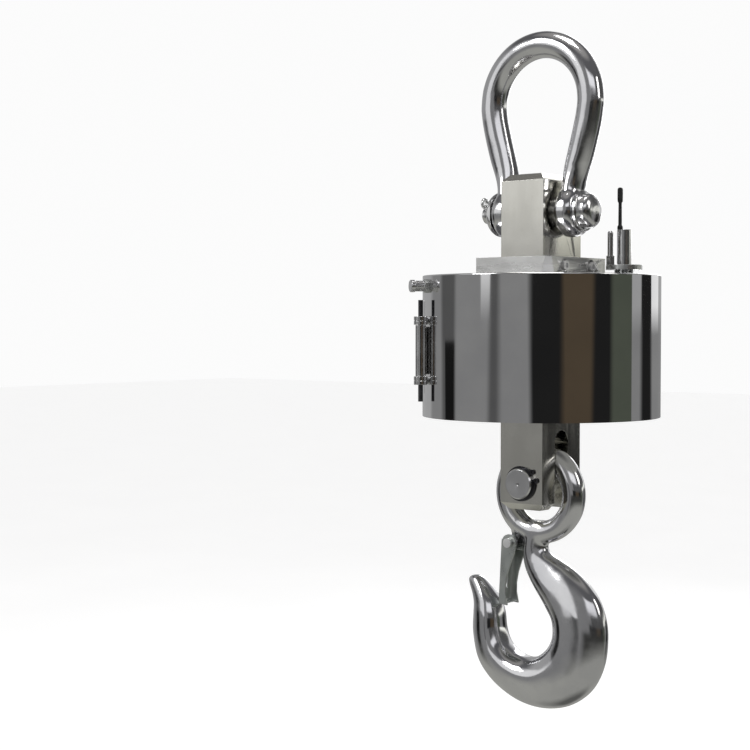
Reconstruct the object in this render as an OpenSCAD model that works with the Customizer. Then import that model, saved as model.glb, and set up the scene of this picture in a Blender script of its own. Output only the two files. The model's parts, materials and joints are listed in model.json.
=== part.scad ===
// Crane scale: a hanging load cell with a bow shackle above, a polished
// electronics drum around its middle, and a swinging eye hook with a spring
// latch below. Millimetres. Origin at the inside of the shackle's crown, +Z up,
// +X along the shackle pin towards its head, -Y the front.

/* [Shackle] */
// Diameter of the shackle's round bar
bow_rod_d = 28; // [20:1:34]
// Half width of the bow, bar centre to bar centre, at its widest
bow_half_w = 60; // [50:1:70]
// Shackle pin axis below the crown's inside
pin_drop = 162; // [150:1:180]
// Shackle pin diameter
pin_d = 32; // [24:1:34]
// Ear diameter
ear_d = 53; // [46:1:60]
// Ear thickness along the pin
ear_t = 20; // [14:1:24]
// Inside width between the ears
ear_gap = 60; // [56:1:70]

/* [Load cell] */
// Load cell width along the shackle pin
cell_x = 52; // [40:1:54]
// Load cell depth front to back
cell_y = 73; // [60:1:80]
// Load cell top, below the origin
cell_top = 123; // [118:1:130]
// Load cell bottom, below the origin
cell_bottom = 473; // [465:1:480]
// Edge chamfer at the top and bottom
cell_chamfer = 7; // [2:0.5:9]
// Width of the fork slot for the hook's eye
slot_w = 26; // [25.5:0.5:30]
// Lower pin axis below the origin
lower_pin_drop = 445; // [440:1:450]
// Lower pin diameter
lower_pin_d = 32; // [26:1:32]

/* [Drum] */
// Drum outside diameter
drum_d = 250; // [240:1:260]
// Drum top, below the origin
drum_top = 228; // [224:1:232]
// Drum bottom, below the origin
drum_bottom = 376; // [370:1:380]
// Drum wall thickness
drum_wall = 2.5; // [1.5:0.5:4]
// Rounding of the drum's top edge
drum_round = 1.2; // [0.6:0.2:4]

/* [Door and fittings] */
// Door height
door_h = 98; // [80:1:100]
// Door width, degrees around the drum
door_deg = 70; // [50:1:72]
// Hinge barrel diameter
barrel_d = 10.7; // [9:0.1:12]
// Hinge rod diameter
rod_d = 5; // [4:0.5:6]

/* [Hook] */
// Hook eye ring, centre of the bar to the centre of the eye
eye_r = 41.5; // [38:0.5:42]
// Hook eye bar diameter
eye_rod_d = 24.8; // [22:0.2:25]
// Greatest half thickness of the hook, front to back
hook_t = 22.5; // [18:0.5:25]

/* [Hidden] */
$fn = 96;
pz = -pin_drop;
lz = -lower_pin_drop;
run = 0.05;
drum_r = drum_d / 2;
in_r = drum_r - drum_wall;
hinge_a = 234.5;
hinge_r = drum_r + 8;
door_a1 = 228;
door_a0 = door_a1 - door_deg;
door_z1 = -254;
door_z0 = door_z1 - door_h;
socket_z = -239.6;
lp_x = -32.3;
lp_z = -512.5;
ant = [72.6, 47.2];
whip = [68.9, 44.8];
grod = [61.1, 38.5];
bolt_z = -218.8;
steel = [0.72, 0.72, 0.71];
bright = [0.82, 0.83, 0.84];
dark = [0.12, 0.12, 0.12];

module cx(r, x0, x1, y = 0, z = 0, n = 96) translate([x0, y, z]) rotate([0, 90, 0]) cylinder(r = r, h = x1 - x0, $fn = n);
module cy(r, y0, y1, x = 0, z = 0, n = 96) translate([x, y0, z]) rotate([-90, 0, 0]) cylinder(r = r, h = y1 - y0, $fn = n);
module cz(r, z0, z1, x = 0, y = 0, n = 96) translate([x, y, z0]) cylinder(r = r, h = z1 - z0, $fn = n);
module bx(x0, x1, y0, y1, z0, z1) translate([x0, y0, z0]) cube([x1 - x0, y1 - y0, z1 - z0]);
module sector(r0, r1, a0, a1, z0, z1) rotate([0, 0, a0]) rotate_extrude(angle = a1 - a0) translate([r0, z0]) square([r1 - r0, z1 - z0]);
function unit(v) = v / norm(v);
module wire(p, r) {
  q = smooth(p, 5);
  n = len(q);
  m = 12;
  polyhedron(points = [for (i = [0:n - 1]) let (t = unit(q[min(i + 1, n - 1)] - q[max(i - 1, 0)]), a = unit(cross(t, [0.37, 0.91, 0.17])), b = cross(t, a))
      for (j = [0:m - 1]) q[i] + r * (cos(360 * j / m) * a + sin(360 * j / m) * b)],
    faces = concat([[for (j = [0:m - 1]) j]], [[for (j = [m - 1:-1:0]) (n - 1) * m + j]],
      [for (i = [0:n - 2]) for (j = [0:m - 1]) let (k = (j + 1) % m) [(i + 1) * m + j, (i + 1) * m + k, i * m + k]],
      [for (i = [0:n - 2]) for (j = [0:m - 1]) let (k = (j + 1) % m) [(i + 1) * m + j, i * m + k, i * m + j]]));
}

// A swept bar: each station is [inner x, inner z, outer x, outer z, half thickness].
function cr(a, b, c, d, t) = 0.5 * (2 * b + (c - a) * t + (2 * a - 5 * b + 4 * c - d) * t * t + (3 * b - a - 3 * c + d) * t * t * t);
function smooth(p, n) = concat([for (i = [0:len(p) - 2]) for (k = [0:n - 1]) cr(p[max(i - 1, 0)], p[i], p[i + 1], p[min(i + 2, len(p) - 1)], k / n)], [p[len(p) - 1]]);
function se(v, q) = sign(v) * pow(abs(v), 2 / q);
function ring(s, m, q) = [for (j = [0:m - 1]) let (u = se(cos(360 * j / m), q), v = se(sin(360 * j / m), q))
  [(s[0] + s[2]) / 2 + (s[2] - s[0]) / 2 * u, s[4] * v, (s[1] + s[3]) / 2 + (s[3] - s[1]) / 2 * u]];
module sweep(p, m, q) {
  n = len(p);
  polyhedron(points = [for (s = p) each ring(s, m, q)],
    faces = concat(
      [[for (j = [0:m - 1]) j]],
      [[for (j = [m - 1:-1:0]) (n - 1) * m + j]],
      [for (i = [0:n - 2]) for (j = [0:m - 1]) let (k = (j + 1) % m) [(i + 1) * m + j, (i + 1) * m + k, i * m + k]],
      [for (i = [0:n - 2]) for (j = [0:m - 1]) let (k = (j + 1) % m) [(i + 1) * m + j, i * m + k, i * m + j]]));
}

// --- shackle ---
rr = bow_rod_d / 2;
function leg(x, z, a, h, t) = [x - h * cos(a), z + h * sin(a), x + h * cos(a), z - h * sin(a), t];
function arc_station(a) = let (c = -(bow_half_w - rr)) [(bow_half_w - rr) * cos(a), c + (bow_half_w - rr) * sin(a), (bow_half_w + rr) * cos(a), c + (bow_half_w + rr) * sin(a), rr];
leg_stations = [leg(40, pz + 10, 0, ear_t / 2 - 1, 21), leg(40, pz + 19, 0, ear_t / 2 - 0.6, 18.5), leg(40.6, pz + 30, 6, 11, 16.5),
  leg(43.2, pz + 43, 13, 12.8, 14.2), leg(48.3, pz + 60, 15.3, 13.8, 13.8), leg(53, pz + 77, 15, 14, rr), leg(57.2, pz + 94, 11, 14, rr), leg(59.3, pz + 106, 5, 14, rr)];
function flip(s) = [-s[0], s[1], -s[2], s[3], s[4]];
bow_path = concat(leg_stations, [for (a = [0:15:180]) arc_station(a)], [for (i = [len(leg_stations) - 1:-1:0]) flip(leg_stations[i])]);

module shackle_bow() color(bright) difference() {
  union() {
    sweep(smooth(bow_path, 2), 28, 2);
    for (s = [0, 180]) translate([0, 0, pz]) rotate([0, 0, s]) rotate([0, 90, 0]) rotate_extrude() polygon([[0, ear_gap / 2], [ear_d / 2 - 4, ear_gap / 2], [ear_d / 2 - 1.2, ear_gap / 2 + 1.2], [ear_d / 2, ear_gap / 2 + 4],
      [ear_d / 2, ear_gap / 2 + ear_t - 8], [ear_d / 2 - 1.6, ear_gap / 2 + ear_t - 4], [ear_d / 2 - 4.5, ear_gap / 2 + ear_t - 1.2], [ear_d / 2 - 7, ear_gap / 2 + ear_t], [0, ear_gap / 2 + ear_t]]);
  }
  cx(pin_d / 2 + run, -80, 80, 0, pz);
}
module shackle_bolt() color(bright) difference() {
  translate([0, 0, pz]) rotate([0, 90, 0]) rotate_extrude() polygon([[0, -70.5], [8, -70.5], [9, -69.5], [9, -57], [pin_d / 2 - 1, -57], [pin_d / 2, -56],
    [pin_d / 2, 50], [20.2, 50], [21, 50.8], [21, 53.2], [20.2, 54], [18, 54], [18, 60.5], [16.2, 63.5], [12, 66], [6, 67.2], [0, 67.5]]);
  translate([-64, 0, pz]) rotate([45, 0, 0]) cz(2.3, -30, 30);
}
module shackle_nut() color(bright) difference() {
  intersection() {
    cx(26, -61, -50.1, 0, pz, 6);
    translate([0, 0, pz]) rotate([0, 90, 0]) rotate_extrude() polygon([[0, -59.5], [13.5, -59.5], [18, -58.4], [21, -56.4], [23.2, -53.4], [24, -50.1], [0, -50.1]]);
  }
  cx(pin_d / 2 + 0.1, -57.3, -40, 0, pz);
  cx(9.1, -70, -40, 0, pz);
}
module cotter_pin() color(steel) translate([-64, 0, pz]) rotate([45, 0, 0]) {
  cz(2.1, -15, 13.4);
  translate([0, 0, 17]) rotate([0, 90, 0]) rotate_extrude() translate([4.2, 0]) circle(r = 1.9);
  translate([0, 0, -14]) rotate([0, 35, 0]) cz(1.7, -7, 0);
}

// --- load cell, collar ---
module load_cell_block() color(steel) difference() {
  intersection() {
    translate([0, cell_y / 2, 0]) rotate([90, 0, 0]) linear_extrude(cell_y) polygon([[-cell_x / 2 + cell_chamfer, -cell_top], [cell_x / 2 - cell_chamfer, -cell_top], [cell_x / 2, -cell_top - cell_chamfer],
      [cell_x / 2, -cell_bottom + cell_chamfer], [cell_x / 2 - cell_chamfer, -cell_bottom], [-cell_x / 2 + cell_chamfer, -cell_bottom], [-cell_x / 2, -cell_bottom + cell_chamfer], [-cell_x / 2, -cell_top - cell_chamfer]]);
    translate([-cell_x / 2, 0, 0]) rotate([90, 0, 90]) linear_extrude(cell_x) polygon([[-cell_y / 2 + cell_chamfer, -cell_top], [cell_y / 2 - cell_chamfer, -cell_top], [cell_y / 2, -cell_top - cell_chamfer],
      [cell_y / 2, -cell_bottom + cell_chamfer], [cell_y / 2 - cell_chamfer, -cell_bottom], [-cell_y / 2 + cell_chamfer, -cell_bottom], [-cell_y / 2, -cell_bottom + cell_chamfer], [-cell_y / 2, -cell_top - cell_chamfer]]);
  }
  cx(pin_d / 2 + run, -50, 50, 0, pz);
  cy(lower_pin_d / 2 + run, -60, 60, 0, lz);
  bx(-40, 40, -slot_w / 2, slot_w / 2, -500, -403);
  cx(slot_w / 2, -40, 40, 0, -403);
  for (s = [-1, 1]) {
    cx(14, s > 0 ? 14 : -40, s > 0 ? 40 : -14, 0, -300);
    for (y = [-26, 26]) cx(3.05, s > 0 ? 16 : -40, s > 0 ? 40 : -16, y, bolt_z);
  }
}
module clamp_collar() color(steel) difference() {
  translate([0, 0, -drum_top]) linear_extrude(18.4) polygon([[-45.3, -54.4], [-44.7, -55], [41.3, -55], [45.3, -51], [45.3, 54.4], [44.7, 55], [-41.3, 55], [-45.3, 51]]);
  bx(-cell_x / 2 - 0.1, cell_x / 2 + 0.1, -cell_y / 2 - 0.1, cell_y / 2 + 0.1, -240, -200);
  for (u = [-1, 1]) translate([45.3 * u, -55 * u, -209.6]) rotate([0, 0, u > 0 ? -45 : 135]) translate([-3.2, 0, 0]) rotate([0, 12, 0]) translate([0, -20, -40]) cube([20, 40, 60]);
  for (s = [-1, 1]) for (y = [-26, 26]) {
    cx(3.3, s > 0 ? 20 : -50, s > 0 ? 50 : -20, y, bolt_z);
    cx(7.2, s > 0 ? 41.5 : -50, s > 0 ? 50 : -41.5, y, bolt_z);
  }
}
module collar_bolts() color(steel) for (s = [0, 180]) for (y = [-26, 26]) rotate([0, 0, s]) difference() {
  union() {
    cx(3, 17, 43, y, bolt_z);
    cx(5, 42.7, 48.2, y, bolt_z);
  }
  cx(2.9, 45, 49, y, bolt_z, 6);
}
module collar_washers() color(bright) for (s = [0, 180]) for (y = [-26, 26]) rotate([0, 0, s]) difference() {
  cx(7, 41.5, 42.7, y, bolt_z);
  cx(3.2, 40, 44, y, bolt_z);
}

// --- drum ---
module drum_shell() color(bright) difference() {
  rotate_extrude() {
    difference() {
      union() {
        translate([0, -drum_top - drum_round]) square([drum_r - drum_round, drum_round]);
        translate([0, -drum_bottom]) square([drum_r, drum_bottom - drum_top - drum_round]);
        translate([drum_r - drum_round, -drum_top - drum_round]) intersection() { circle(r = drum_round); square(drum_round); }
      }
      translate([-1, -380]) square([in_r + 1, 380 - drum_top - 4]);
    }
  }
  bx(-cell_x / 2 - 0.2, cell_x / 2 + 0.2, -cell_y / 2 - 0.2, cell_y / 2 + 0.2, -240, -200);
  sector(115, 135, door_a0, door_a1, door_z0, door_z1);
  rotate([0, 0, hinge_a]) cx(5.1, 115, 135, 0, socket_z);
  cz(6.1, -240, -220, ant[0], ant[1]);
}
module flange_ring() color(steel) difference() {
  cz(in_r, -372, -366);
  cz(108, -380, -360);
  for (a = [22.5:45:359]) rotate([0, 0, a]) cz(2.5, -380, -360, 115);
}
module bottom_cover() color(bright) difference() {
  cz(in_r - 0.3, -drum_bottom, -373);
  bx(-cell_x / 2 - 0.2, cell_x / 2 + 0.2, -cell_y / 2 - 0.2, cell_y / 2 + 0.2, -400, -360);
  for (a = [22.5:45:359]) rotate([0, 0, a]) {
    cz(2.7, -380, -360, 115);
    cz(4.6, -380, -374.4, 115);
  }
}
module cover_gasket() color(dark) difference() {
  cz(in_r - 0.6, -373, -372);
  cz(108, -380, -360);
  for (a = [22.5:45:359]) rotate([0, 0, a]) cz(3, -380, -360, 115);
}
module cover_bolts() color(bright) for (a = [22.5:45:359]) rotate([0, 0, a]) difference() {
  union() {
    cz(2.4, -375, -362, 115);
    cz(4.5, -375.9, -374.4, 115);
  }
  cz(2, -380, -374.9, 115, 0, 6);
}
module block_seal() color(dark) difference() {
  bx(-29.5, 29.5, -40, 40, -372.9, -369);
  bx(-cell_x / 2 - 0.05, cell_x / 2 + 0.05, -cell_y / 2 - 0.05, cell_y / 2 + 0.05, -390, -360);
}
module door_frame() color(steel) difference() {
  sector(119, in_r - 0.05, door_a0 - 4, door_a1 + 4, door_z0 - 6, door_z1 + 6);
  sector(115, 130, door_a0 + 5, door_a1 - 5, door_z0 + 6, door_z1 - 6);
  sector(121.2, 130, door_a0 - 0.6, door_a1 + 0.6, door_z0 - 0.6, door_z1 + 0.6);
}
module door_seal() color(dark) difference() {
  sector(121.2, 122.2, door_a0 + 0.2, door_a1 - 0.2, door_z0 + 0.2, door_z1 - 0.2);
  sector(115, 130, door_a0 + 5, door_a1 - 5, door_z0 + 6, door_z1 - 6);
}
module hinge_collars() color(bright) rotate([0, 0, hinge_a]) difference() {
  union() for (z = [-279.5, -341.5]) {
    cz(7, z, z + 4, hinge_r);
    cz(6.2, z + 3.9, z + 4.5, hinge_r);
    cz(7, z + 4.4, z + 8.5, hinge_r);
    bx(drum_r - 2, hinge_r, -3.5, 3.5, z + 0.6, z + 7.9);
  }
  cz(drum_r, -400, -200);
  cz(rod_d / 2 + run, -400, -200, hinge_r);
}
module hinge_pin() color(dark) rotate([0, 0, hinge_a]) cz(rod_d / 2, -359, -254, hinge_r);
module charge_socket() color(steel) rotate([0, 0, hinge_a]) {
  cx(5, 112, 126, 0, socket_z);
  difference() {
    cx(6.9, drum_r, 129.5, 0, socket_z, 6);
    cz(drum_r + 0.02, -260, -220);
  }
  cx(4.6, 129, 136, 0, socket_z);
}
module charge_cap() color(bright) rotate([0, 0, hinge_a]) difference() {
  translate([0, 0, socket_z]) rotate([0, 90, 0]) rotate_extrude() polygon([[0, 129.6], [5.6, 129.6], [5.6, 139.8], [6.4, 140], [6.4, 143.8], [5.9, 144.3], [0, 144.3]]);
  cx(4.7, 120, 136.2, 0, socket_z);
  for (a = [0:30:359]) translate([0, 0, socket_z]) rotate([a, 0, 0]) cx(0.5, 129, 139, 0, 5.8);
}

// --- lower pin ---
module lower_pin() color(bright) difference() {
  translate([0, 0, lz]) rotate([-90, 0, 0]) rotate_extrude() polygon([[0, -43.5], [lower_pin_d / 2 - 1.2, -43.5], [lower_pin_d / 2, -42.3], [lower_pin_d / 2, -38.4], [lower_pin_d / 2 - 1, -38.4], [lower_pin_d / 2 - 1, -36.7], [lower_pin_d / 2, -36.7],
    [lower_pin_d / 2, 36.7], [lower_pin_d / 2 - 1, 36.7], [lower_pin_d / 2 - 1, 38.4], [lower_pin_d / 2, 38.4], [lower_pin_d / 2, 42.3], [lower_pin_d / 2 - 1.2, 43.5], [0, 43.5]]);
  for (y = [-50, 40]) cy(1.6, y, y + 10, 0, lz);
}
module circlips() color(steel) for (y = [-38.3, 36.8]) difference() {
  union() {
    cy(lower_pin_d / 2 + 2.4, y, y + 1.5, 0, lz);
    for (a = [12, 42]) cy(3.2, y, y + 1.5, (lower_pin_d / 2 + 2.8) * cos(a), lz + (lower_pin_d / 2 + 2.8) * sin(a));
  }
  cy(lower_pin_d / 2 - 0.9, y - 1, y + 3, 0, lz);
  for (a = [12, 42]) cy(1.1, y - 1, y + 3, (lower_pin_d / 2 + 3.2) * cos(a), lz + (lower_pin_d / 2 + 3.2) * sin(a));
  translate([0, y - 1, lz]) rotate([0, -27, 0]) bx(10, 30, 0, 4, -2.2, 2.2);
}

// --- antenna ---
module antenna_base() color(steel) {
  cz(10, -drum_top, -221.9, ant[0], ant[1]);
  cz(19, -222, -217, ant[0], ant[1]);
  cz(6, -240, -227.9, ant[0], ant[1]);
}
module antenna_nut() color(steel) difference() {
  cz(10, -237, -232, ant[0], ant[1], 6);
  cz(6.05, -245, -225, ant[0], ant[1]);
}
module guard_tube() color(bright) difference() {
  cz(7.5, -217, -180, ant[0], ant[1]);
  cz(6.8, -216, -170, ant[0], ant[1]);
}
module guard_rod() color(bright) {
  cz(3, -217, -183, grod[0], grod[1]);
  translate([grod[0], grod[1], -183.1]) cylinder(r1 = 3, r2 = 2, h = 1.6);
}
module guard_nut() color(steel) difference() {
  cz(4.8, -217, -207.5, grod[0], grod[1], 6);
  cz(3.05, -220, -200, grod[0], grod[1]);
}
module antenna_whip() color(dark) translate([whip[0], whip[1], 0]) rotate_extrude() polygon([[0, -215.9], [2.2, -215.9], [2.2, -200], [1.75, -198], [1.75, -179.8], [2.9, -179.6], [2.9, -177],
  [1.9, -175], [1.75, -152], [2.7, -150.5], [2.85, -148], [2.85, -138], [2.2, -136.3], [0, -135.6]]);

// --- inside the drum ---
module gauge_covers() color(steel) for (s = [0, 180]) rotate([0, 0, s]) difference() {
  cx(18, 26, 27.5, 0, -300);
  cx(2.2, 20, 30, 8, -306);
}
module strain_gauges() color([0.8, 0.6, 0.3]) for (s = [0, 180]) rotate([0, 0, s]) for (y = [-5, 5]) bx(14, 14.5, y - 3, y + 3, -305, -295);
module main_board() color([0.1, 0.35, 0.18]) difference() {
  bx(34, 68, -65, 65, -246.6, -245);
  for (x = [38, 64]) for (y = [-60, 60]) cz(1.7, -250, -240, x, y);
}
module board_parts() color(dark) {
  bx(40, 56, -30, -14, -249, -246.6);
  bx(42, 50, 2, 10, -248.4, -246.6);
  bx(56, 64, -50, -38, -254, -246.6);
  bx(36, 42, 20, 44, -255, -246.6);
  cz(4, -256, -246.6, 60, -4);
  cz(3, -255, -246.6, 60, 8);
}
module radio_board() color([0.1, 0.2, 0.45]) {
  bx(46, 66, 18, 48, -253.2, -252);
  bx(47, 50, 20, 46, -252.1, -246.6);
  bx(54, 64, 22, 36, -256, -253.1);
}
module board_standoffs() color([0.8, 0.7, 0.4]) for (x = [38, 64]) for (y = [-60, 60]) difference() {
  cz(3.2, -245, -232, x, y, 6);
  cz(1.5, -250, -236, x, y);
}
module board_screws() color(steel) for (x = [38, 64]) for (y = [-60, 60]) {
  cz(1.45, -246.7, -237, x, y);
  cz(2.8, -248.6, -246.6, x, y);
}
module battery() color([0.16, 0.16, 0.2]) bx(-84, -37, -58, 42, -332, -262);
module battery_terminals() color([0.75, 0.2, 0.1]) for (y = [-46, -30]) bx(-76, -70, y, y + 0.8, -262, -255);
module battery_tray() color(steel) {
  difference() {
    bx(-86, -35, -60, 44, -334, -320);
    bx(-84, -37, -58, 42, -332, -310);
  }
  for (x = [-80, -41]) for (y = [-54, 38]) cz(4, -373, -333, x, y);
}
module cell_cable() color(dark) {
  wire([[28, 8, -306], [32, 8, -306], [35.5, 11, -300], [37, 18, -280], [39, 28, -266], [39, 31, -257.5]], 1.6);
}
module antenna_coax() color([0.3, 0.2, 0.1]) wire([[72.6, 47.2, -240.6], [72.6, 47.2, -250], [71.5, 46, -257], [66, 43, -260.5], [60.5, 40, -258.5], [60, 40, -254.6]], 1.3);
module battery_lead() color([0.6, 0.1, 0.1]) {
  wire([[-73, -47.6, -258], [-72, -53, -254], [-60, -61, -249], [-30, -66, -248], [10, -66, -250], [40, -58, -257], [57, -49, -259], [59, -46, -256]], 1.2);
  wire([[-73, -31.6, -258], [-72, -38, -251], [-58, -48, -244], [-34, -56, -242], [10, -58, -244], [24, -50, -254], [46, -42, -262], [61, -41, -257]], 1.2);
}

// --- hook ---
hook_path = [[-82.5, -553, -87, -553.5, 3], [-77, -553.5, -91, -557, 7], [-70, -558.5, -89.5, -563.5, 10], [-61.5, -567, -85, -573, 13.5], [-53.5, -578, -82.5, -583, 16.5],
  [-49, -592, -82.5, -594, 19], [-47.2, -607, -82.5, -615, 20], [-42.5, -620, -75.5, -643, hook_t - 1.5], [-33.5, -629, -59, -663, hook_t - 0.5], [-23.5, -633, -37, -677, hook_t],
  [-13, -634.5, -12.5, -685, hook_t], [-3, -632.5, 14.5, -686, hook_t], [6.3, -627, 41, -678, hook_t], [14, -619, 64, -660, hook_t - 0.5], [19, -609, 77.5, -634, hook_t - 0.5],
  [19.8, -599, 81.5, -606, hook_t - 1], [17.8, -589, 79.5, -585, hook_t - 1.5], [12.5, -581, 72.5, -566, 20], [6, -571.5, 62, -552.5, 19], [-2.8, -560, 49.5, -541.5, 17.5], [-10.5, -549, 36.5, -533, 15.5],
  [-16, -538, 24, -526.5, 14], [-18.5, -526, 12, -520.5, 13], [-18.5, -516, 8, -513, 13], [-16.5, -507, 10, -504, 13], [-13, -497, 12, -495, 13], [-9, -487, 9, -487, 10]];

module hook() color(bright) difference() {
  union() {
    sweep(smooth(hook_path, 3), 28, 2.35);
    translate([0, 0, lz + lower_pin_d / 2 - (eye_r - eye_rod_d / 2) + run]) rotate([90, 0, 0]) rotate_extrude() translate([eye_r, 0]) circle(r = eye_rod_d / 2);
    translate([0, 6, 0]) rotate([90, 0, 0]) linear_extrude(12) polygon([[lp_x, lp_z + 7], [-33.8, -498.5], [-25.3, -492.5], [-14, -492], [-12, -523], [-28.3, -519.5], [lp_x, lp_z - 7]]);
    cy(7, -6, 6, lp_x, lp_z);
  }
  cy(4.05, -20, 20, lp_x, lp_z);
}
module latch_bolt() color(steel) {
  cy(4, -13, 14.5, lp_x, lp_z);
  cy(5, -15.6, -12.1, lp_x, lp_z);
  difference() {
    cy(5.8, 12.1, 16.4, lp_x, lp_z, 6);
    cy(4.1, 10, 18, lp_x, lp_z);
  }
  cy(4, 14, 17.6, lp_x, lp_z);
}
module latch_spring() color(steel) for (y = [-8.5, -7.2, 7.2, 8.5]) translate([lp_x, y, lp_z]) rotate([90, 0, 0]) rotate_extrude() translate([5.4, 0]) circle(r = 0.6);

// --- latch: a folded channel with its back towards the hook's point ---
module latch_plate() polygon(concat([for (a = [170:-14:-26]) [lp_x + 9 * cos(a), lp_z + 9 * sin(a)]],
  [[-25.7, -523.5], [-30.3, -534.5], [-34.5, -546.5], [-36.9, -558.5], [-36.9, -568.5], [-35, -577], [-34.6, -580], [-43.3, -579], [-45.1, -577.5]]));
module latch() color([0.6, 0.61, 0.58]) difference() {
  union() {
    for (y = [-11.6, 9.6]) translate([0, y + 2, 0]) rotate([90, 0, 0]) linear_extrude(2) latch_plate();
    translate([0, 11.6, 0]) rotate([90, 0, 0]) linear_extrude(23.2) polygon([[-41.5, -509.5], [-40, -509.5], [-43.3, -576.5], [-36.3, -576.5], [-35.5, -578.1], [-45.2, -578.1]]);
  }
  cy(4.08, -20, 20, lp_x, lp_z);
  bx(-54, -39.5, -2, 2, -563, -533);
}

// --- battery door ---
module door_panel() color(bright) difference() {
  sector(in_r + 0.1, drum_r, door_a0 + 0.4, door_a1 - 0.4, door_z0 + 0.7, door_z1 - 0.7);
  rotate([0, 0, door_a0 + 10.5]) cx(3.55, 110, 135, 0, -303);
  for (z = [-292, -320]) rotate([0, 0, door_a1 - 5.5]) cx(1.6, 110, 135, 0, z);
}
module door_leaf() color(bright) difference() {
  union() {
    sector(drum_r, drum_r + 2.2, door_a1 - 9, door_a1 - 0.5, -331.5, -281);
    sector(drum_r + 0.6, drum_r + 2, door_a1 - 1, hinge_a - 0.4, -331, -281.5);
    rotate([0, 0, hinge_a]) bx(drum_r + 1.1, hinge_r - 3.2, -3.6, -1.2, -330.5, -282);
    rotate([0, 0, hinge_a]) cz(barrel_d / 2, -332.6, -279.9, hinge_r);
  }
  rotate([0, 0, hinge_a]) cz(rod_d / 2 + run, -400, -200, hinge_r);
  for (z = [-292, -320]) rotate([0, 0, door_a1 - 5.5]) cx(1.6, 110, 135, 0, z);
}
module door_rivets() color(steel) for (z = [-292, -320]) rotate([0, 0, door_a1 - 5.5]) {
  cx(1.55, 122.8, 128, 0, z);
  cx(2.8, drum_r + 2.2, drum_r + 3.2, 0, z);
}
module door_knob() color(dark) rotate([0, 0, door_a0 + 10.5]) {
  cx(3.5, 113.6, 126.5, 0, -303);
  cx(9, drum_r + 0.3, drum_r + 3, 0, -303);
  bx(drum_r + 2.5, drum_r + 11, -2.2, 2.2, -311, -295);
}
module door_cam() color(steel) rotate([0, 0, door_a0 + 10.5]) difference() {
  bx(113.6, 117.4, -4.5, 4.5, -317, -298);
  cx(3.55, 110, 120, 0, -303);
}

shackle_bow();
shackle_bolt();
shackle_nut();
cotter_pin();
load_cell_block();
clamp_collar();
collar_bolts();
collar_washers();
drum_shell();
flange_ring();
bottom_cover();
cover_gasket();
cover_bolts();
block_seal();
door_frame();
door_seal();
hinge_collars();
hinge_pin();
charge_socket();
charge_cap();
lower_pin();
circlips();
antenna_base();
antenna_nut();
guard_tube();
guard_rod();
guard_nut();
antenna_whip();
gauge_covers();
strain_gauges();
main_board();
board_parts();
radio_board();
board_standoffs();
board_screws();
battery();
battery_terminals();
battery_tray();
cell_cable();
antenna_coax();
battery_lead();
hook();
latch_bolt();
latch_spring();
latch();
door_panel();
door_leaf();
door_rivets();
door_knob();
door_cam();
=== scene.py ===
import bpy, bmesh, math, json
from mathutils import Vector, Matrix, noise


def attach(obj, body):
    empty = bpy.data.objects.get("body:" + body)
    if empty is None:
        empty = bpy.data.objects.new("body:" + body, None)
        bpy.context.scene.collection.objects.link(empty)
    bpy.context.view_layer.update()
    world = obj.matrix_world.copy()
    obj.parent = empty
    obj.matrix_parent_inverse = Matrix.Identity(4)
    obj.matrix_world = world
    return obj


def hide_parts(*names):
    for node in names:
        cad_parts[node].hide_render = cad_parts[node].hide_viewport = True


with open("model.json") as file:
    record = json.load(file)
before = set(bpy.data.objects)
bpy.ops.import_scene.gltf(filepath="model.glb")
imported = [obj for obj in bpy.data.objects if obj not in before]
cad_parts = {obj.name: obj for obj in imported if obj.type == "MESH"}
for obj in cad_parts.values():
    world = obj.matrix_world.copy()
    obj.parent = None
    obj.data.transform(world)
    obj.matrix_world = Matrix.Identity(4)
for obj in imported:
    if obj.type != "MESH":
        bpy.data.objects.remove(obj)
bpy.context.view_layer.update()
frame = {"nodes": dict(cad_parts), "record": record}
scene = bpy.context.scene
record = frame["record"]
SLOT = {s["node"]: s["material_slot"] for s in record["subparts"]}
BODY = {n: b for b, ns in record["behaviour"]["bodies"].items() for n in ns}
MM = 0.001

# ---------------------------------------------------------------- materials
def nodes_of(m):
    m.use_nodes = True
    t = m.node_tree
    t.nodes.clear()
    return t

def add(t, kind, **kw):
    n = t.nodes.new(kind)
    for k, v in kw.items():
        setattr(n, k, v)
    return n

def noise_at(t, scale, detail=3.0, stretch=(1, 1, 1), rough=0.5, offset=(0, 0, 0)):
    tc = add(t, "ShaderNodeTexCoord")
    mp = add(t, "ShaderNodeMapping")
    mp.inputs["Scale"].default_value = stretch
    mp.inputs["Location"].default_value = offset
    t.links.new(tc.outputs["Object"], mp.inputs["Vector"])
    n = add(t, "ShaderNodeTexNoise")
    n.inputs["Scale"].default_value = scale
    n.inputs["Detail"].default_value = detail
    n.inputs["Roughness"].default_value = rough
    t.links.new(mp.outputs["Vector"], n.inputs["Vector"])
    return n.outputs["Fac"]

def rng(t, fac, a, b, lo=0.3, hi=0.7):
    n = add(t, "ShaderNodeMapRange")
    n.inputs["From Min"].default_value = lo
    n.inputs["From Max"].default_value = hi
    n.inputs["To Min"].default_value = a
    n.inputs["To Max"].default_value = b
    t.links.new(fac, n.inputs["Value"])
    return n.outputs["Result"]

def mixc(t, fac, a, b):
    n = add(t, "ShaderNodeMix", data_type="RGBA")
    t.links.new(fac, n.inputs["Factor"])
    for s, v in (("A", a), ("B", b)):
        sock = [i for i in n.inputs if i.name == s and i.type == "RGBA"][0]
        if hasattr(v, "links"):
            t.links.new(v, sock)
        else:
            sock.default_value = (*v, 1)
    return [o for o in n.outputs if o.type == "RGBA"][0]

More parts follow.
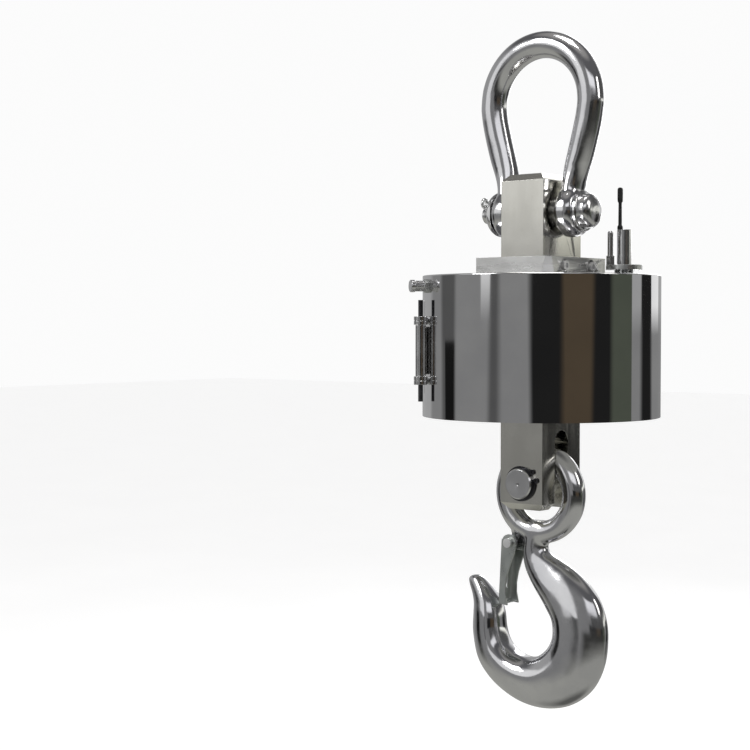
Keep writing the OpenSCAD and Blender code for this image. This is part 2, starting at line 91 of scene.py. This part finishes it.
def maths(t, op, a, b=None, c=None):
    n = add(t, "ShaderNodeMath", operation=op)
    for i, v in enumerate((a, b, c)):
        if v is None:
            continue
        if hasattr(v, "links"):
            t.links.new(v, n.inputs[i])
        else:
            n.inputs[i].default_value = v
    return n.outputs[0]

def bump(t, height, strength, dist, normal=None):
    n = add(t, "ShaderNodeBump")
    n.inputs["Strength"].default_value = strength
    n.inputs["Distance"].default_value = dist
    t.links.new(height, n.inputs["Height"])
    if normal is not None:
        t.links.new(normal, n.inputs["Normal"])
    return n.outputs["Normal"]

def finish_mat(t, color, metallic, rough, normal, coat=0.0, spec=0.5):
    p = add(t, "ShaderNodeBsdfPrincipled")
    o = add(t, "ShaderNodeOutputMaterial")
    p.inputs["Metallic"].default_value = metallic
    p.inputs["Specular IOR Level"].default_value = spec
    if coat:
        p.inputs["Coat Weight"].default_value = coat
        p.inputs["Coat Roughness"].default_value = 0.15
    t.links.new(color, p.inputs["Base Color"])
    t.links.new(rough, p.inputs["Roughness"])
    t.links.new(normal, p.inputs["Normal"])
    t.links.new(p.outputs[0], o.inputs[0])
    return p

def metal(name, a, b, r0, r1, grain=(1, 1, 1), grain_scale=900, grain_amt=0.02, wave=0.0, wave_scale=18, wave_stretch=(1, 1, 1), edge=0.5, spots=0.0, fine=0.0):
    """A metal: two close tones, uneven polish, fine grain, slow waviness, rounded edges and a few small pits."""
    m = bpy.data.materials.new(name)
    t = nodes_of(m)
    big = noise_at(t, 22, 4)
    col = mixc(t, rng(t, big, 0, 1), a, b)
    g = noise_at(t, grain_scale, 2, grain, 0.6)
    smear = noise_at(t, 60, 5, tuple(max(x, 0.12) for x in grain), 0.6, (3, 1, 2))
    r = rng(t, smear, r0, r1, 0.35, 0.68)
    if edge:
        bev = add(t, "ShaderNodeBevel", samples=4)
        bev.inputs["Radius"].default_value = edge * MM
    else:
        bev = add(t, "ShaderNodeNewGeometry")
    nrm = bev.outputs["Normal"]
    if wave:
        nrm = bump(t, noise_at(t, wave_scale, 1.5, wave_stretch, 0.4, (7, 2, 5)), 1.0, wave * MM, nrm)
    if spots:
        v = add(t, "ShaderNodeTexVoronoi", feature="F1")
        v.inputs["Scale"].default_value = 260
        tc = add(t, "ShaderNodeTexCoord")
        t.links.new(tc.outputs["Object"], v.inputs["Vector"])
        pit = rng(t, v.outputs["Distance"], 0, 1, 0.05, 0.16)
        nrm = bump(t, pit, spots, 0.03 * MM, nrm)
        col = mixc(t, rng(t, v.outputs["Distance"], 0.0, 1, 0.03, 0.1), tuple(x * 0.55 for x in a), col)
    if fine:
        nrm = bump(t, noise_at(t, 420, 4, (1, 1, 1), 0.65, (1, 9, 4)), fine, 0.05 * MM, nrm)
    nrm = bump(t, g, grain_amt, 0.1 * MM, nrm)
    finish_mat(t, col, 1.0, r, nrm)
    return m

def plastic(name, a, b, r0, r1, scale=500, amt=0.15, spec=0.45, coat=0.0, edge=0.4):
    m = bpy.data.materials.new(name)
    t = nodes_of(m)
    col = mixc(t, rng(t, noise_at(t, 45, 5), 0, 1), a, b)
    r = rng(t, noise_at(t, 90, 4, offset=(2, 2, 2)), r0, r1)
    bev = add(t, "ShaderNodeBevel", samples=4)
    bev.inputs["Radius"].default_value = edge * MM
    nrm = bump(t, noise_at(t, scale, 4, rough=0.6), amt, 0.08 * MM, bev.outputs["Normal"])
    finish_mat(t, col, 0.0, r, nrm, coat, spec)
    return m

M = {
    "forged_bright": metal("forged_bright", (0.60, 0.60, 0.62), (0.72, 0.72, 0.73), 0.07, 0.2, wave=1.1, wave_scale=26, grain_amt=0.03, edge=1.2, spots=0.12, fine=0.05),
    "pin_steel": metal("pin_steel", (0.62, 0.62, 0.63), (0.74, 0.74, 0.74), 0.1, 0.24, grain_amt=0.06, edge=0.7, fine=0.06),
    "zinc_steel": metal("zinc_steel", (0.56, 0.57, 0.56), (0.68, 0.69, 0.68), 0.22, 0.42, grain_amt=0.08, fine=0.12),
    "cell_steel": metal("cell_steel", (0.66, 0.65, 0.6), (0.74, 0.73, 0.68), 0.13, 0.2, grain=(1, 1, 0.04), grain_scale=1400, grain_amt=0.045, edge=0.5, spots=0.06, wave=0.05, wave_scale=30),
    "collar_steel": metal("collar_steel", (0.6, 0.6, 0.59), (0.7, 0.7, 0.69), 0.2, 0.34, grain=(0.05, 0.05, 1), grain_scale=1300, grain_amt=0.14, edge=0.5, spots=0.15, wave=0.3, wave_scale=60),
    "bolt_steel": metal("bolt_steel", (0.72, 0.72, 0.73), (0.86, 0.86, 0.86), 0.34, 0.5, grain_amt=0.08, edge=0.35, fine=0.1),
    "drum_mirror": metal("drum_mirror", (0.7, 0.7, 0.71), (0.78, 0.78, 0.78), 0.02, 0.05, grain=(1, 1, 0.03), grain_scale=500, grain_amt=0.004, wave=0.05, wave_scale=26, wave_stretch=(1, 1, 0.14), edge=0),
    "dark_steel": metal("dark_steel", (0.05, 0.05, 0.055), (0.12, 0.12, 0.125), 0.25, 0.45, grain_amt=0.1, edge=0.3, fine=0.15),
    "spring_steel": metal("spring_steel", (0.3, 0.3, 0.31), (0.42, 0.42, 0.42), 0.2, 0.35, edge=0.2),
    "latch_zinc": metal("latch_zinc", (0.42, 0.45, 0.44), (0.56, 0.58, 0.56), 0.26, 0.46, grain_amt=0.1, edge=0.7, fine=0.25, wave=0.25, wave_scale=50),
    "standoff_brass": metal("standoff_brass", (0.62, 0.45, 0.18), (0.75, 0.58, 0.28), 0.2, 0.35, edge=0.3),
    "black_rubber": plastic("black_rubber", (0.012, 0.012, 0.013), (0.03, 0.03, 0.03), 0.5, 0.75, 700, 0.25, 0.35),
    "antenna_black": plastic("antenna_black", (0.008, 0.008, 0.009), (0.02, 0.02, 0.02), 0.3, 0.5, 600, 0.12),
    "gauge_foil": plastic("gauge_foil", (0.6, 0.4, 0.14), (0.75, 0.55, 0.25), 0.3, 0.5),
    "board_green": plastic("board_green", (0.02, 0.14, 0.05), (0.04, 0.24, 0.09), 0.25, 0.4, 300, 0.1, coat=0.3),
    "board_blue": plastic("board_blue", (0.02, 0.05, 0.2), (0.04, 0.1, 0.32), 0.25, 0.4, 300, 0.1, coat=0.3),
    "chip_black": plastic("chip_black", (0.012, 0.012, 0.012), (0.03, 0.03, 0.03), 0.4, 0.6),
    "battery_case": plastic("battery_case", (0.03, 0.03, 0.04), (0.06, 0.06, 0.07), 0.35, 0.55, 350, 0.2),
    "lead_red": plastic("lead_red", (0.32, 0.015, 0.01), (0.45, 0.03, 0.02), 0.35, 0.5),
    "knob_plastic": plastic("knob_plastic", (0.012, 0.012, 0.013), (0.028, 0.028, 0.03), 0.3, 0.5, 420, 0.2),
}

# ---------------------------------------------------------------- CAD surfaces, smoothed where they curve
def put(name, mesh, node_names, smooth_angle=None):
    o = bpy.data.objects.new(name, mesh)
    scene.collection.objects.link(o)
    first = node_names[0]
    o.data.materials.clear()
    o.data.materials.append(M[SLOT[first]])
    for p in mesh.polygons:
        p.use_smooth = True
    if smooth_angle is not None:
        mesh.set_sharp_from_angle(angle=math.radians(smooth_angle))
    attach(o, BODY[first])
    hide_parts(*node_names)
    return o

def from_cad(node):
    src = frame["nodes"][node].data
    bm = bmesh.new()
    bm.from_mesh(src)
    bmesh.ops.remove_doubles(bm, verts=bm.verts, dist=2e-6)
    me = bpy.data.meshes.new("m_" + node)
    bm.to_mesh(me)
    bm.free()
    return me

MADE = {"hook", "shackle_bow"}
for n, o in frame["nodes"].items():
    o.data.materials.clear()
    o.data.materials.append(M[SLOT[n]])
    if n not in MADE:
        v = put("v_" + n, from_cad(n), [n], 26)
        wn = v.modifiers.new("wn", "WEIGHTED_NORMAL")
        wn.mode = "FACE_AREA"
        wn.weight = 100
        wn.keep_sharp = True

# ---------------------------------------------------------------- forged pieces
def cr(a, b, c, d, t):
    return [0.5 * (2 * q + (r - p) * t + (2 * p - 5 * q + 4 * r - s) * t * t + (3 * q - p - 3 * r + s) * t ** 3) for p, q, r, s in zip(a, b, c, d)]

def smooth_path(p, n):
    out = []
    for i in range(len(p) - 1):
        for k in range(n):
            out.append(cr(p[max(i - 1, 0)], p[i], p[i + 1], p[min(i + 2, len(p) - 1)], k / n))
    out.append(list(p[-1]))
    return out

def sweep(bm, path, m, q, taper=0.0):
    rings = []
    for s in path:
        r = []
        for j in range(m):
            a = 2 * math.pi * j / m
            u = math.copysign(abs(math.cos(a)) ** (2 / q), math.cos(a))
            v = math.copysign(abs(math.sin(a)) ** (2 / q), math.sin(a))
            w = 1 - taper * max(0.0, (u + 0.35) / 1.35)
            r.append(bm.verts.new(((s[0] + s[2]) / 2 * MM + (s[2] - s[0]) / 2 * MM * u, s[4] * MM * v * w, (s[1] + s[3]) / 2 * MM + (s[3] - s[1]) / 2 * MM * u)))
        rings.append(r)
    for a, b in zip(rings, rings[1:]):
        for j in range(m):
            k = (j + 1) % m
            bm.faces.new((a[j], a[k], b[k], b[j]))
    bm.faces.new(rings[0][::-1])
    bm.faces.new(rings[-1])

def cyl(bm, axis, r, a, b, centre, seg=96):
    """A closed cylinder along x or y, millimetres."""
    rings = []
    for s in (a, b):
        ring = []
        for j in range(seg):
            t = 2 * math.pi * j / seg
            if axis == "x":
                p = (s, centre[1] + r * math.cos(t), centre[2] + r * math.sin(t))
            else:
                p = (centre[0] + r * math.sin(t), s, centre[2] + r * math.cos(t))
            ring.append(bm.verts.new([c * MM for c in p]))
        rings.append(ring)
    for j in range(seg):
        k = (j + 1) % seg
        bm.faces.new((rings[0][j], rings[0][k], rings[1][k], rings[1][j]))
    bm.faces.new(rings[0][::-1])
    bm.faces.new(rings[1])

def torus(bm, R, r, centre, m=128, n=40, squash=1.0):
    g = []
    for i in range(m):
        a = 2 * math.pi * i / m
        row = []
        for j in range(n):
            b = 2 * math.pi * j / n
            rad = R + r * math.cos(b)
            row.append(bm.verts.new(((centre[0] + rad * math.cos(a)) * MM, (centre[1] + r * math.sin(b) * squash) * MM, (centre[2] + rad * math.sin(a)) * MM)))
        g.append(row)
    for i in range(m):
        for j in range(n):
            bm.faces.new((g[i][j], g[(i + 1) % m][j], g[(i + 1) % m][(j + 1) % n], g[i][(j + 1) % n]))

def prism_y(bm, pts, y0, y1):
    a = [bm.verts.new((x * MM, y0 * MM, z * MM)) for x, z in pts]
    b = [bm.verts.new((x * MM, y1 * MM, z * MM)) for x, z in pts]
    n = len(pts)
    for i in range(n):
        bm.faces.new((a[i], a[(i + 1) % n], b[(i + 1) % n], b[i]))
    bm.faces.new(a[::-1])
    bm.faces.new(b)

def fused(bm, name, voxel, iters, local=None, cut=None):
    """The pieces in bm melted into one skin, as a forging is, with soft fillets where they meet."""
    bmesh.ops.recalc_face_normals(bm, faces=bm.faces)
    me = bpy.data.meshes.new(name)
    bm.to_mesh(me)
    bm.free()
    o = bpy.data.objects.new(name + "_work", me)
    scene.collection.objects.link(o)
    r = o.modifiers.new("r", "REMESH")
    r.mode = "VOXEL"
    r.voxel_size = voxel
    s = o.modifiers.new("s", "SMOOTH")
    s.factor = 0.5
    s.iterations = iters
    dg = bpy.context.evaluated_depsgraph_get()
    out = bpy.data.meshes.new_from_object(o.evaluated_get(dg))
    bpy.data.objects.remove(o)
    if local or cut:
        o = bpy.data.objects.new(name + "_work2", out)
        scene.collection.objects.link(o)
        if local:
            vg = o.vertex_groups.new(name="w")
            for v in out.vertices:
                w = local(v.co)
                if w > 0:
                    vg.add([v.index], w, "REPLACE")
            s = o.modifiers.new("s", "SMOOTH")
            s.factor = 0.5
            s.iterations = 90
            s.vertex_group = "w"
        tool = None
        if cut:
            bt = bmesh.new()
            for args in cut:
                cyl(bt, *args)
            bmesh.ops.recalc_face_normals(bt, faces=bt.faces)
            tm = bpy.data.meshes.new("tool")
            bt.to_mesh(tm)
            bt.free()
            tool = bpy.data.objects.new("tool", tm)
            scene.collection.objects.link(tool)
            b = o.modifiers.new("b", "BOOLEAN")
            b.operation = "DIFFERENCE"
            b.solver = "EXACT"
            b.object = tool
        dg = bpy.context.evaluated_depsgraph_get()
        out = bpy.data.meshes.new_from_object(o.evaluated_get(dg))
        bpy.data.objects.remove(o)
        if tool:
            bpy.data.objects.remove(tool)
    out.name = name
    return out

HOOK_T = 22.5
LUG = (-32.3, -512.5)
HOOK = [[-82.5, -553, -87, -553.5, 3], [-77, -553.5, -91, -557, 7], [-70, -558.5, -89.5, -563.5, 10], [-61.5, -567, -85, -573, 13.5], [-53.5, -578, -82.5, -583, 16.5],
  [-49, -592, -82.5, -594, 19], [-47.2, -607, -82.5, -615, 20], [-42.5, -620, -75.5, -643, 21], [-33.5, -629, -59, -663, 22], [-23.5, -633, -37, -677, HOOK_T],
  [-13, -634.5, -12.5, -685, HOOK_T], [-3, -632.5, 14.5, -685.7, HOOK_T], [6.3, -627, 41, -678, HOOK_T], [14, -619, 64, -660, 22], [19, -609, 77.5, -634, 22],
  [19.8, -599, 81.5, -606, 21.5], [17.8, -589, 79.5, -585, 21], [12.5, -581, 72.5, -566, 20], [6, -571.5, 62, -552.5, 19], [-2.8, -560, 49.5, -541.5, 17.5], [-10.5, -549, 36.5, -533, 15.5],
  [-16, -538, 24, -526.5, 14], [-18.5, -526, 12, -520.5, 13], [-18.5, -516, 8, -513, 13], [-16.5, -507, 10, -504, 13], [-13, -497, 12, -495, 13], [-9, -487, 9, -487, 10]]
bm = bmesh.new()
sweep(bm, smooth_path(HOOK, 6), 72, 2.35, 0.22)
torus(bm, 41.5, 12.4, (0, 0, -458.05))
prism_y(bm, [(LUG[0], LUG[1] + 7), (-33.8, -498.5), (-25.3, -492.5), (-14, -492), (-12, -523), (-28.3, -519.5), (LUG[0], LUG[1] - 7)], -6, 6)
cyl(bm, "y", 7, -6, 6, (LUG[0], 0, LUG[1]), 48)
def neck_w(co):
    z = co.z * 1000
    if -530 < z < -478 and co.x * 1000 > -24:
        return min(1.0, (z + 530) / 12, (-478 - z) / 12)
    return 0.0
hook = put("v_hook", fused(bm, "hook_skin", 0.0011, 7, neck_w), ["hook"])

def leg(x, z, a, h, t):
    a = math.radians(a)
    return [x - h * math.cos(a), z + h * math.sin(a), x + h * math.cos(a), z - h * math.sin(a), t]
def arc(a):
    a = math.radians(a)
    return [46 * math.cos(a), -46 + 46 * math.sin(a), 74 * math.cos(a), -46 + 74 * math.sin(a), 14]
PZ = -162
LEGS = [leg(40, PZ + 10, 0, 9, 21), leg(40, PZ + 19, 0, 9.4, 18.5), leg(40.6, PZ + 30, 6, 11, 16.5), leg(43.2, PZ + 43, 13, 12.8, 14.2), leg(48.3, PZ + 60, 15.3, 13.8, 13.8),
        leg(53, PZ + 77, 15, 14, 14), leg(57.2, PZ + 94, 11, 14, 14), leg(59.3, PZ + 106, 5, 14, 14)]
bow_path = LEGS + [arc(a) for a in range(0, 181, 15)] + [[-s[0], s[1], -s[2], s[3], s[4]] for s in LEGS[::-1]]
bm = bmesh.new()
sweep(bm, smooth_path(bow_path, 5), 56, 2)
EAR = [(0, 30.1), (21.5, 30.1), (24, 30.6), (25.6, 31.8), (26.4, 34), (26.5, 38), (26.4, 42), (25.6, 45), (24, 47.4), (21.6, 49.1), (19.2, 49.9), (0, 49.9)]
def lathe_x(bm, prof, sign, centre, seg=112):
    rings = []
    for r, x in prof:
        if r == 0:
            rings.append([bm.verts.new((sign * x * MM, 0, centre * MM))])
            continue
        rings.append([bm.verts.new((sign * x * MM, r * math.cos(2 * math.pi * j / seg) * MM, (centre + r * math.sin(2 * math.pi * j / seg)) * MM)) for j in range(seg)])
    for a, b in zip(rings, rings[1:]):
        for j in range(seg):
            k = (j + 1) % seg
            q = [a[0]] if len(a) == 1 else [a[j], a[k]]
            q += [b[0]] if len(b) == 1 else [b[k], b[j]]
            bm.faces.new(q)
lathe_x(bm, EAR, 1, PZ)
lathe_x(bm, EAR, -1, PZ)
def ear_w(co):
    z = co.z * 1000
    return max(0.0, min(1.0, (z + 158) / 10, (-112 - z) / 14)) * 0.8
bow = put("v_shackle_bow", fused(bm, "bow_skin", 0.0010, 6, ear_w, [("x", 16.06, 25, 55, (0, 0, PZ)), ("x", 16.06, -55, -25, (0, 0, PZ))]), ["shackle_bow"])
for o in (hook, bow):
    o.data.set_sharp_from_angle(angle=math.radians(50))

# ---------------------------------------------------------------- stage, light, camera
CAM_AZ = math.radians(33)
D = 1.70
cam = bpy.data.objects.new("camera", bpy.data.cameras.new("camera"))
scene.collection.objects.link(cam)
cam.data.sensor_width = 36
cam.data.lens = 76.8
cam.location = (math.sin(CAM_AZ) * D, -math.cos(CAM_AZ) * D, -0.2746)
yaw = CAM_AZ + math.radians(5.918)
cam.rotation_euler = (math.radians(90 - 1.97), 0, yaw)
cam.data.clip_end = 100
scene.camera = cam

def card(name, loc, target, size, energy, color=(1, 1, 1)):
    l = bpy.data.lights.new(name, "AREA")
    l.shape = "RECTANGLE"
    l.size, l.size_y = size
    l.energy = energy
    l.color = color
    o = bpy.data.objects.new(name, l)
    o.location = loc
    o.rotation_euler = (Vector(target) - Vector(loc)).to_track_quat("-Z", "Y").to_euler()
    scene.collection.objects.link(o)
    return o

def at(rel, elev, dist, z=-0.3):
    a = CAM_AZ + math.radians(rel)
    e = math.radians(elev)
    return (math.sin(a) * math.cos(e) * dist, -math.cos(a) * math.cos(e) * dist, z + math.sin(e) * dist)

card("key", at(-62, 34, 2.6), (0, 0, -0.25), (0.9, 0.9), 26)
card("fill", at(70, 25, 3.0), (0, 0, -0.3), (0.7, 1.2), 9, (1.0, 0.98, 0.95))
card("top", (0.1, -0.1, 1.9), (0, 0, -0.3), (0.8, 0.8), 14)
card("back", at(165, 18, 2.8), (0, 0, -0.3), (0.8, 1.4), 12)

me = bpy.data.meshes.new("floor")
bm = bmesh.new()
bmesh.ops.create_grid(bm, x_segments=24, y_segments=24, size=14)
bm.to_mesh(me)
bm.free()
floor = bpy.data.objects.new("floor", me)
floor.location = (0, 0, -1.05)
scene.collection.objects.link(floor)
fm = bpy.data.materials.new("floor")
t = nodes_of(fm)
fcol = mixc(t, rng(t, noise_at(t, 3, 4), 0, 1), (0.4, 0.4, 0.4), (0.44, 0.44, 0.44))
fr = rng(t, noise_at(t, 9, 3), 0.7, 0.9)
fn = bump(t, noise_at(t, 40, 3), 0.05, 0.001)
fp = finish_mat(t, fcol, 0.0, fr, fn, 0, 0.2)
fp.inputs["Emission Color"].default_value = (1, 1, 1, 1)
fp.inputs["Emission Strength"].default_value = 0.78
me.materials.append(fm)
floor.visible_glossy = False

# The studio round the object: pale for the picture itself, screens and panels in the reflections.
w = bpy.data.worlds.new("studio")
scene.world = w
w.use_nodes = True
t = w.node_tree
t.nodes.clear()
tc = add(t, "ShaderNodeTexCoord")
sep = add(t, "ShaderNodeSeparateXYZ")
t.links.new(tc.outputs["Generated"], sep.inputs[0])
ny = maths(t, "MULTIPLY", sep.outputs["Y"], -1.0)
az = maths(t, "ARCTAN2", sep.outputs["X"], ny)
rel = maths(t, "WRAP", maths(t, "SUBTRACT", az, CAM_AZ), math.pi, -math.pi)
fac = maths(t, "ADD", maths(t, "DIVIDE", rel, 2 * math.pi), 0.5)
elev = maths(t, "MULTIPLY", maths(t, "ARCSINE", sep.outputs["Z"]), 180 / math.pi)

def ramp(stops):
    n = add(t, "ShaderNodeValToRGB")
    e = n.color_ramp.elements
    while len(e) > 1:
        e.remove(e[-1])
    for i, (d, c) in enumerate(stops):
        c = (c, c, c) if isinstance(c, float) else c
        pos = min(1.0, max(0.0, d / 360 + 0.5))
        el = e[0] if i == 0 else e.new(pos)
        el.position = pos
        el.color = (*c, 1)
    t.links.new(fac, n.inputs[0])
    return n.outputs[0]

# A plain studio of upright screens, in degrees round the object, 0 towards the camera. The levels are round
# numbers, and each screen is one even tone from edge to edge.
def screens(rows, soft_edge=1.0):
    """Upright screens as (from, to, tone) rows, each with a short soft edge."""
    stops = []
    for a, b, c in rows:
        stops += [(a + soft_edge / 2, c), (b - soft_edge / 2, c)]
    return ramp(stops)

BRIGHT, PALE, MID, DIM, BLACK, BROWN, OLIVE = 0.9, 0.4, 0.25, 0.1, 0.015, (0.08, 0.06, 0.04), (0.08, 0.09, 0.07)
level = screens([(-180, -130, PALE), (-130, -110, MID), (-110, -90, DIM), (-90, -50, MID), (-50, -40, DIM), (-40, -10, MID), (-10, 20, BLACK), (20, 50, BROWN), (50, 70, BLACK), (70, 100, OLIVE), (100, 180, MID)], 5.0)
far = screens([(-180, 110, PALE), (110, 130, BLACK), (130, 150, BRIGHT), (150, 180, PALE)])
low = screens([(-180, 110, MID), (110, 130, BLACK), (130, 180, MID)], 6.0)
upper = screens([(-180, -85, PALE), (-85, -40, BRIGHT), (-40, 0, MID), (0, 130, DIM), (130, 180, BRIGHT)], 4.0)
glare = screens([(-180, -60, 0.0), (-60, -50, BRIGHT), (-50, 180, 0.0)])
shade = screens([(-180, -105, 0.0), (-105, -90, 1.0), (-90, 180, 0.0)])
soft = screens([(-180, -10, 0.0), (-10, 40, 1.0), (40, 180, 0.0)], 8.0)
band = screens([(-180, -30, 0.0), (-30, 80, 1.0), (80, 180, 0.0)], 12.0)
warm = screens([(-180, 90, 0.0), (90, 130, 1.0), (130, 180, 0.0)], 4.0)
def mixv(f, a, b):
    n = add(t, "ShaderNodeMix", data_type="RGBA")
    t.links.new(f, n.inputs["Factor"])
    for s, v in (("A", a), ("B", b)):
        sock = [i for i in n.inputs if i.name == s and i.type == "RGBA"][0]
        if hasattr(v, "links"):
            t.links.new(v, sock)
        else:
            sock.default_value = (*v, 1)
    return [o for o in n.outputs if o.type == "RGBA"][0]
def window(m, a, b):
    return maths(t, "MULTIPLY", m, rng(t, elev, 0, 1, a, b))
level = mixv(window(glare, 0, 2), level, (0.9, 0.9, 0.9))
level = mixv(window(shade, -0.7, -0.8), level, (0.01, 0.01, 0.01))
far = mixv(rng(t, elev, 0, 1, -0.5, 0.5), low, far)
side = rng(t, rel, 0, 1, math.radians(95), math.radians(96))
c = mixv(rng(t, elev, 0, 1, 2.5, 3), mixv(side, level, far), upper)
c = mixv(maths(t, "MULTIPLY", window(warm, 2.5, 3), rng(t, elev, 1, 0, 6, 9)), c, (1.3, 1.3, 1.2))
c = mixv(rng(t, elev, 0, 1, 26, 42), c, (0.13, 0.13, 0.135))
c = mixv(rng(t, elev, 0, 1, 52, 62), c, (0.34, 0.33, 0.32))
c = mixv(maths(t, "MULTIPLY", window(soft, 15, 18), rng(t, elev, 1, 0, 31, 36)), c, (1.1, 1.1, 1.12))
c = mixv(maths(t, "MULTIPLY", band, rng(t, elev, 0, 1, -4, -5.5)), c, (0.045, 0.045, 0.042))
c = mixv(rng(t, elev, 0, 1, -13, -26), c, (0.4, 0.4, 0.37))
c = mixv(rng(t, elev, 0, 1, -58, -78), c, (0.14, 0.14, 0.13))
lp = add(t, "ShaderNodeLightPath")
c = mixv(lp.outputs["Is Camera Ray"], c, (0.97, 0.97, 0.97))
bg = add(t, "ShaderNodeBackground")
t.links.new(c, bg.inputs[0])
bg.inputs[1].default_value = 1.0
out = add(t, "ShaderNodeOutputWorld")
t.links.new(bg.outputs[0], out.inputs[0])
scene.view_settings.view_transform = "Standard"
scene.view_settings.look = "None"
